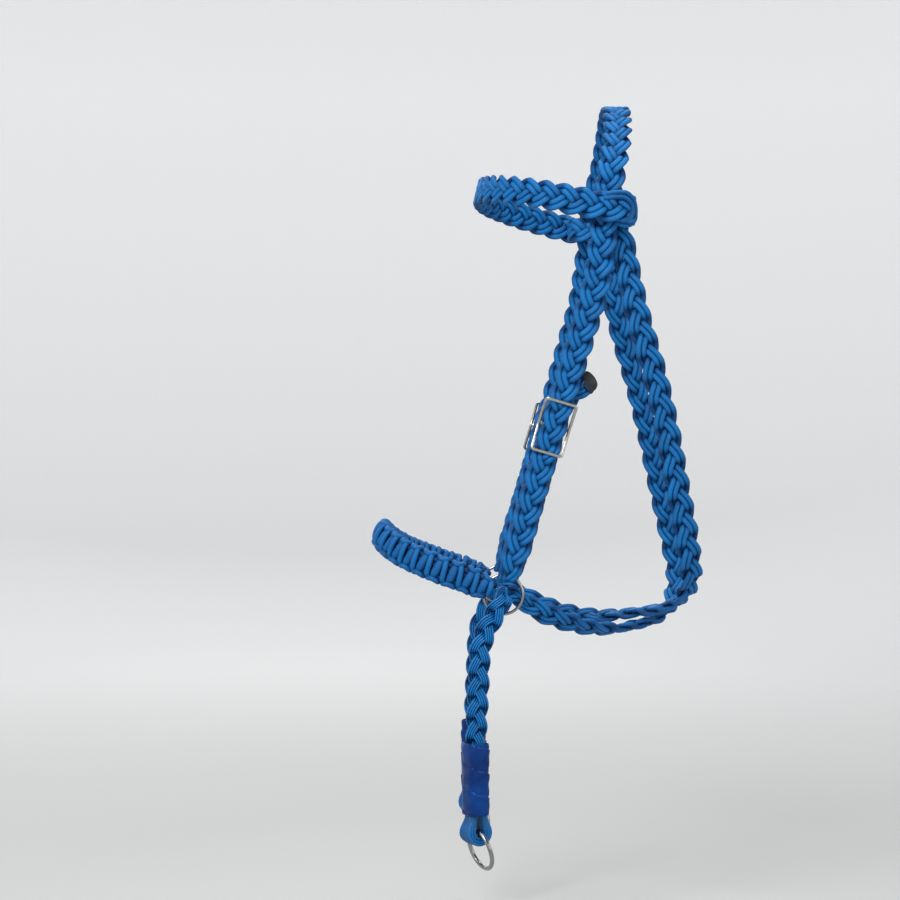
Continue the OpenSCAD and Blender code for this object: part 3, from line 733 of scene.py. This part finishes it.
tubes.piece("noseband_knots", knot_cord, "noseband_cord", "noseband", ["noseband_wrap"])
print(knots, "square knots,", round(knot_step, 1), "mm each")

# %% [markdown]
# ## The rein end's fold
# The hanging strap is doubled round a steel ring. The fold opens into its three strands, and the
# ring's wire lies in it. It could be one fat loop, but the bundles of fine cord are plain to see, so
# each is nine tubes, three wide and three deep. The end's own directions are turned from the head's,
# because the strap twists as it hangs, and the ring leans a little in its fold.

# %% Directions at a rein end, and the fold
EYE_TURN, RING_LEAN = np.radians(-60), np.radians(17)
TAPE_LOW = TAPE_TOP - TAPE_LONG - EYE_Z     # the tape's lower edge, up from the middle of the fold
WIRE_LIFT, REIN_RING_R, REIN_WIRE = 0.95, 18, 2.0


class ReinEnd:
    """The directions at the end of one hanging strap: across is the fold's axis."""

    def __init__(self, side, sign):
        self.side, self.sign = side, sign
        self.centre = np.array([REIN_X, REIN_Y * sign, EYE_Z])
        c, d = np.cos(EYE_TURN), np.sin(EYE_TURN) * sign
        self.across, self.round = np.array([c, d, 0]), np.array([-d, c, 0])
        self.hang = self.round * sign * np.sin(RING_LEAN) - (0, 0, np.cos(RING_LEAN))

    def place(self, across, around, up):
        """Points from their distances along the fold's axis, square to it, and up."""
        return (self.centre + np.multiply.outer(across, self.across)
                + np.multiply.outer(around, self.round) + np.multiply.outer(up, (0, 0, 1)))


def ease(t):
    """0 below 0, 1 above 1, and a smooth step between."""
    t = np.clip(t, 0, 1)
    return t * t * (3 - 2 * t)


BUNDLES = ((-5.2, -6.4, -3.4), (0.8, -0.4, 1.6), (5.6, 5.8, 4.4))   # across: going down, low, coming up
FOLD_LAYERS = ((5.7, 2.5), (8.4, 2.3), (11.0, 2.1))     # radius about the wire, and cord to cord
FOLD_CORD, IN_TAPE, FOLD_SHADE = 2.9, 10, 7.5


def fold_tubes(end):
    """Each tube goes straight down one side of the wire, round under it in a half circle, slightly
    squashed, and up the other side into the tape. Its place across eases from one listed value to
    the next, and above the wire the whole fold closes in to the tape's width."""
    made = Tubes()
    leg, arc = np.linspace(TAPE_LOW + IN_TAPE, 0, 24)[:-1], np.linspace(0, np.pi, 30)
    for first, low, last in BUNDLES:
        for radius, gap in FOLD_LAYERS:
            for k in (-1, 0, 1):
                around = radius * np.concatenate([np.ones(len(leg)), np.cos(arc), -np.ones(len(leg))])
                up = np.concatenate([leg, -radius * np.sin(arc) * (0.9 + 0.04 * k), leg[::-1]])
                share = np.linspace(-1, 1, len(up))
                middle = np.where(share < 0, first + (low - first) * ease(1 + share),
                                  low + (last - low) * ease(share))
                close = 1 - 0.4 * ease(up / (TAPE_LOW - 1))
                fan = k * gap * (0.75 + 0.25 * np.cos(share * 3))
                path = end.place((middle + fan) * (0.86 + 0.14 * close), around * close, up)
                # painted shade: the inner layers of the fold are darker than the outer ones
                made.sweep(path, np.broadcast_to(end.across, path.shape), FOLD_CORD, FOLD_CORD,
                           rise=np.full(len(path), radius / 2), half=FOLD_SHADE)
    return made


print("the fold leaves a bore", 2 * FOLD_LAYERS[0][0] - FOLD_CORD, "mm across for the wire")

# %% [markdown]
# ## Tape
# The fold is bound with blue vinyl tape, wound in three turns that overlap. Modelling the tape as a
# long thin ribbon would leave slivers between its turns, so it is one closed sleeve whose skin steps
# out where each turn laps over the last, and whose wrinkles run where the cords press through.

# %% Tape sleeve, and both rein ends made
TAPE_HALF, TAPE_BORE, TAPE_CORNER, TAPE_TURNS = (12.0, 10.0), (11.0, 9.0), 0.62, 3


def tape_grid(end):
    """A rounded rectangle carried up the strap. It swells and dips where the tape laps over itself: a
    sawtooth that climbs one turn of tape for each turn round, plus slow wrinkles. The inner wall comes
    back down at the width of the doubled strap."""
    turn = np.linspace(0, 2 * np.pi, 73)[:-1][None, :]
    height = np.linspace(0, TAPE_LONG, 91)[:, None]
    shape = [np.sign(f) * np.abs(f) ** TAPE_CORNER for f in (np.cos(turn), np.sin(turn))]
    lap = (height / (TAPE_LONG / TAPE_TURNS) + turn / (2 * np.pi) + 0.15) % 1
    wrinkle = (np.sin(3 * turn + 0.2 * height) * np.sin(0.33 * height + 2 * np.sin(turn))
               + 0.6 * np.sin(5 * turn - 0.45 * height))
    swell = 0.55 * lap**3 - 0.35 * np.exp(-((lap - 0.04) / 0.06) ** 2) + 0.22 * wrinkle
    edge = 0.5 * (np.exp(-height / 1.2) + np.exp(-(TAPE_LONG - height) / 1.2))
    walls = []
    for (half_w, half_t), extra, level in ((TAPE_HALF, swell - edge, height),
                                           (TAPE_BORE, 0 * swell, height[::-1])):
        walls.append(end.place((half_w + extra) * shape[0], (half_t + extra) * shape[1],
                               TAPE_LOW + level + 0 * turn))
    return np.vstack(walls)


tape_paint = Paint("blue_vinyl_tape", specular_ior_level=0.12, coat_weight=0.06, coat_roughness=0.12)
cloud = tape_paint.noise(30, 3)
creases = tape_paint.noise(160, 4)
vinyl = tape_paint.feed(
    Base_Color=tape_paint.mix(cloud.between(0.3, 0.7), colour(0, 32, 88), colour(0, 58, 128)),
    Roughness=0.2 + cloud * 0.16,
    Normal=tape_paint.bump(creases, 0.0004))
ends = [ReinEnd("near", 1), ReinEnd("off", -1)]
on_rein = {}
for end in ends:
    body, sleeve, walls = end.side + "_rein", Tubes(), tape_grid(end)
    sleeve.grid(walls, np.linspace(0, 2 * TAPE_LONG, len(walls)), closed=True)
    on_rein[end.side] = [
        fold_tubes(end).piece(body + "_fold", rein_cord, "rein_braid", body, [body + "_end_loop"]),
        sleeve.piece(end.side + "_tape", vinyl, "tape", body, [end.side + "_tape_wrap"])]

# %% [markdown]
# ## Steel
# Both kinds of fitting are plated steel. Polished wire is smooth with faint handling marks, and the
# flat slide is duller and more scuffed. A plain mirror would look like a drawing of steel, so the
# polish comes and goes in a slow noise, with duller grime where it has gone, under much finer marks.

# %% Steel finishes
def steel(name, tone, smooth, scratch):
    """Metal whose polish comes and goes with a slow noise, under fine scratches."""
    paint = Paint(name, metallic=1.0)
    place = paint.node("ShaderNodeTexCoord", output=3)
    wear = paint.noise(140, 3, place)
    fine = paint.noise(2200, 2, place)
    grime = wear.between(0.55, 0.8) * 0.5
    base = paint.mix(grime, colour(*tone), colour(92, 88, 82))
    return paint.feed(Base_Color=base, Roughness=smooth + wear * 0.22 + fine * 0.06,
                      Normal=paint.bump(fine * 0.5 + wear * 0.5, scratch))


ring_steel = steel("polished_steel", (150, 150, 149), 0.06, 0.00003)
slide_steel = steel("flat_steel", (176, 174, 169), 0.16, 0.00006)
print("steel finishes:", ring_steel.name, slide_steel.name)

# %% [markdown]
# ## Rings
# The rings are round wire bent to a circle and butt-welded, then plated and tumbled, so each has a
# slight swelling at the weld. A torus from the menu has no weld, so the wire is swept round a circle
# as the cords are along their routes, and its thickness is worked out at every angle.

# %% Side rings and rein rings
WELD_SWELL, WELD_LONG = 0.1, 0.09       # share of the wire's thickness, and radians round the ring


def ring_tubes(centre, first, second, radius, wire, weld):
    """A circle of wire in the plane of two directions. It swells by a bell curve about the weld angle."""
    turn = np.linspace(0, 2 * np.pi, 129)[:-1]
    path = centre + radius * (np.outer(np.cos(turn), first) + np.outer(np.sin(turn), second))
    off_weld = np.abs((turn - weld + np.pi) % (2 * np.pi) - np.pi)
    thick = 2 * wire * (1 + WELD_SWELL * np.exp(-((off_weld / WELD_LONG) ** 2)))
    made = Tubes()
    made.sweep(path, np.broadcast_to(np.cross(first, second), path.shape), thick, thick, 20, closed=True)
    return made


for end in ends:
    name = end.side + "_side_ring"
    wire = ring_tubes(RING * (1, end.sign, 1), (1, 0, 0), (0, 0, 1), RING_R, RING_WIRE, 1.9)
    wire.piece(name + "_wire", ring_steel, "ring_steel", name, [name])
    name = end.side + "_rein_ring"
    wire = ring_tubes(end.centre + end.hang * (REIN_RING_R - WIRE_LIFT), end.across, -end.hang,
                      REIN_RING_R, REIN_WIRE, 1.1)
    on_rein[end.side].append(wire.piece(name + "_wire", ring_steel, "ring_steel", name, [name]))

# %% [markdown]
# ## Slides
# A three-bar slide is stamped from flat stock: two end bars in front of the strap, one bar behind the
# front layer, and two side rails bowed to reach both. Boxes joined at the corners would show their
# joins, so the frame is one bar swept round a rectangle with rounded corners, pushed out by the bow.

# %% Slide buckles
SLIDE_AT, SLIDE_HALF_W, SLIDE_HALF_L, SLIDE_FRONT = 158, 14.0, 23.5, 10.3
SLIDE_CORNER, SLIDE_BAR_W, SLIDE_BAR_T = 2.6, 2.8, 1.6
BOW_FLAT = 3        # the rails' bow is a hyperbola, level for about this far on each side of the middle
turn = np.linspace(0, 2 * np.pi, 65)
half = np.array([SLIDE_HALF_W, SLIDE_HALF_L]) - SLIDE_CORNER
ways = np.stack([np.cos(turn), np.sin(turn)], axis=-1)
outline = np.sign(ways) * half + SLIDE_CORNER * ways
run = np.append(0, np.cumsum(np.linalg.norm(np.diff(outline, axis=0), axis=1)))
outline = along(np.linspace(0, run[-1], 180)[:-1], run, outline)
bow = SLIDE_FRONT * np.hypot(outline[:, 1], BOW_FLAT) / np.hypot(SLIDE_HALF_L, BOW_FLAT)
bar_x = np.linspace(-SLIDE_HALF_W, SLIDE_HALF_W, 12)
slide_middle = RING + CHEEK_UP * SLIDE_AT
for side, sign in (("near", 1), ("off", -1)):
    mirror = (1, sign, 1)
    frame_path = (slide_middle + np.outer(outline[:, 0], CHEEK_ACROSS)
                  + np.outer(outline[:, 1], CHEEK_UP) + np.outer(bow, CHEEK_OUT)) * mirror
    outwards = np.cross(np.gradient(frame_path, axis=0), CHEEK_OUT * mirror)
    slide = Tubes()
    slide.sweep(frame_path, outwards, SLIDE_BAR_W, SLIDE_BAR_T, 12, closed=True)
    bar = (slide_middle + np.outer(bar_x, CHEEK_ACROSS)) * mirror
    slide.sweep(bar, np.broadcast_to(CHEEK_UP * mirror, bar.shape), SLIDE_BAR_W, SLIDE_BAR_T, 12)
    slide.piece(side + "_slide_buckle", slide_steel, "slide_steel", side + "_slide", [side + "_slide"])

# %% [markdown]
# ## Sealed tips
# Nylon cord frays unless its end is melted. The maker held a flame to the cut end of the braid and
# pressed it flat, which leaves a hard black cake with lumps where the cords ran together. It could be
# a squashed ball, but a closed grid that carries a lumpy oval along a short line keeps the cake's
# blunt end. Its root is the braid's own blue, painted very dark as painted shade, and only its end is
# black.

# %% Sealed tips
TIP_HALF_W, TIP_HALF_T, TIP_LONG, TIP_OVERLAP = 10.2, 3.9, 12.2, 1.2
tip_paint = Paint("sealed_nylon", specular_ior_level=0.5)
lumps = tip_paint.noise(300, 4)
char = tip_paint.mix(lumps.between(0.35, 0.7), colour(8, 9, 10), colour(34, 40, 42))
burnt = (tip_paint.cord_place()[0] + lumps * 3).between(4.5, 7)      # the root is the braid's blue, painted dark as shade
sealed = tip_paint.feed(
    Base_Color=tip_paint.mix(burnt, colour(2, 26, 58), char),
    Roughness=0.28 + lumps * 0.3, Normal=tip_paint.bump(lumps, 0.001))
(last_up, last_over, _), (before_up, before_over, _) = RETURN[:2]
tip_end = cheek(last_up, -LAYER, last_over)
tip_way = unit(tip_end - cheek(before_up, -LAYER, before_over))
t, around = np.linspace(0, 1, 26), np.linspace(0, 2 * np.pi, 49)[:-1]
belly = np.maximum(np.clip(1 - t**5, 0, 1) ** 0.5 * (1 - 0.12 * t), 0.12)[:, None]
lump = 1 + 0.07 * np.sin(6 * around) * np.sin(9 * t)[:, None] + 0.05 * np.sin(4 * around + 7)
blunt = np.sign(np.cos(around)) * np.abs(np.cos(around)) ** 0.8
for side, sign in (("near", 1), ("off", -1)):
    mirror = (1, sign, 1)
    path = (tip_end + np.outer(TIP_LONG * t - TIP_OVERLAP, tip_way)) * mirror
    across = np.cross(tip_way, CHEEK_OUT) * mirror
    up = np.cross(tip_way * mirror, across)
    points = (path[:, None] + (lump * belly * TIP_HALF_W * blunt)[..., None] * across
              + (lump * belly * TIP_HALF_T * np.sin(around))[..., None] * up)
    tip = Tubes()
    tip.grid(points, t * 12)
    tip.piece(side + "_sealed_tip", sealed, "sealed_end", "headpiece", [side + "_tail_tip"])

# %% [markdown]
# ## The hanging straps' meshes
# The two hanging straps bend at the side rings. Each one's transform is baked into its mesh.

# %% Hanging straps baked
for side, sign in (("near", 1), ("off", -1)):
    piece, strap = reins[side + "_rein"]
    x, y, z = RING * MM
    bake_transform(piece)
    round(strap.long * MM, 3)
    print(side, "hanging strap declared with", len(on_rein[side]), "pieces on it")

# %% [markdown]
# ## Floor
# The studio is a pale floor that curves up far away on every side, so there is no edge behind the
# straps from any angle. A plane and a wall would need a rounded corner on one side only, so it is one
# round dish. Its far part glows faintly, so that the walls stay pale where the lamps don't reach.

# %% Floor
FLOOR_Z, FLAT_R, ROOM_R, CURVE_UP = -0.76, 2.6, 5.5, 0.42      # metres, and the parabola's steepness
HUB_R = 0.02
radius = np.linspace(HUB_R, ROOM_R, 60)[:, None, None]
turn = np.linspace(0, 2 * np.pi, 65)[:-1][None, :, None]
rise = CURVE_UP * np.clip(radius - FLAT_R, 0, None) ** 2
dish = np.concatenate([radius * np.cos(turn), radius * np.sin(turn), FLOOR_Z + rise + 0 * turn], axis=2)
studio_paint = Paint("pale_floor", roughness=0.85, specular_ior_level=0.2, emission_strength=1.0)
spot = studio_paint.node("ShaderNodeTexCoord", output=3)
far = studio_paint.node("ShaderNodeVectorMath", {0: spot}, output=1, operation="LENGTH").between(1.0, 4.6)
speckle = studio_paint.noise(1.2, 2)
near_tone = studio_paint.mix(speckle, colour(176, 177, 177), colour(182, 182, 181))
pale = studio_paint.feed(
    Base_Color=studio_paint.mix(far, near_tone, colour(226, 227, 227)),
    Emission_Color=studio_paint.mix(far, (0.06, 0.06, 0.06, 1), (0.4, 0.402, 0.405, 1)))
mesh = bpy.data.meshes.new("floor")
room = Tubes()
room.grid(dish[::-1], np.arange(60.0))
mesh.from_pydata(room.points[0], [], room.quads[0].tolist() + [room.caps[1].tolist()])
mesh.polygons.foreach_set("use_smooth", [True] * len(mesh.polygons))
mesh.materials.append(pale)
floor = bpy.data.objects.new("floor", mesh)
bpy.context.scene.collection.objects.link(floor)

# %% [markdown]
# ## Light
# One large soft lamp stands high on the nose side, a weaker one fills from the neck side, one
# overhead lights the crown, and one behind keeps the inside of the straps from going black. The open
# top of the room is dim, because steel needs something dark to reflect.

# %% Lamps and air
MIDDLE, AIR_LIGHT = (-0.08, 0, -0.32), 0.2


def lamp(name, place, size, watts):
    """A square soft lamp, size metres across, that faces the middle of the bridle."""
    made = bpy.data.objects.new(name, bpy.data.lights.new(name, "AREA"))
    made.data.size, made.data.energy = size, watts
    made.location = place
    way = Vector(MIDDLE) - Vector(place)
    made.rotation_euler = way.to_track_quat("-Z", "Y").to_euler()
    bpy.context.scene.collection.objects.link(made)


lamp("key", (-0.9, -1.6, 1.25), 1.0, 49)
lamp("fill", (1.9, -1.6, 0.3), 1.4, 14)
lamp("overhead", (0.1, 0.2, 1.9), 1.0, 26)
lamp("behind", (-0.4, 2.4, 1.0), 1.8, 24)
world = bpy.data.worlds.new("studio_air")
bpy.context.scene.world = world
world.use_nodes = True
air = world.node_tree.nodes["Background"].inputs
air["Color"].default_value = colour(225, 230, 236)
air["Strength"].default_value = AIR_LIGHT
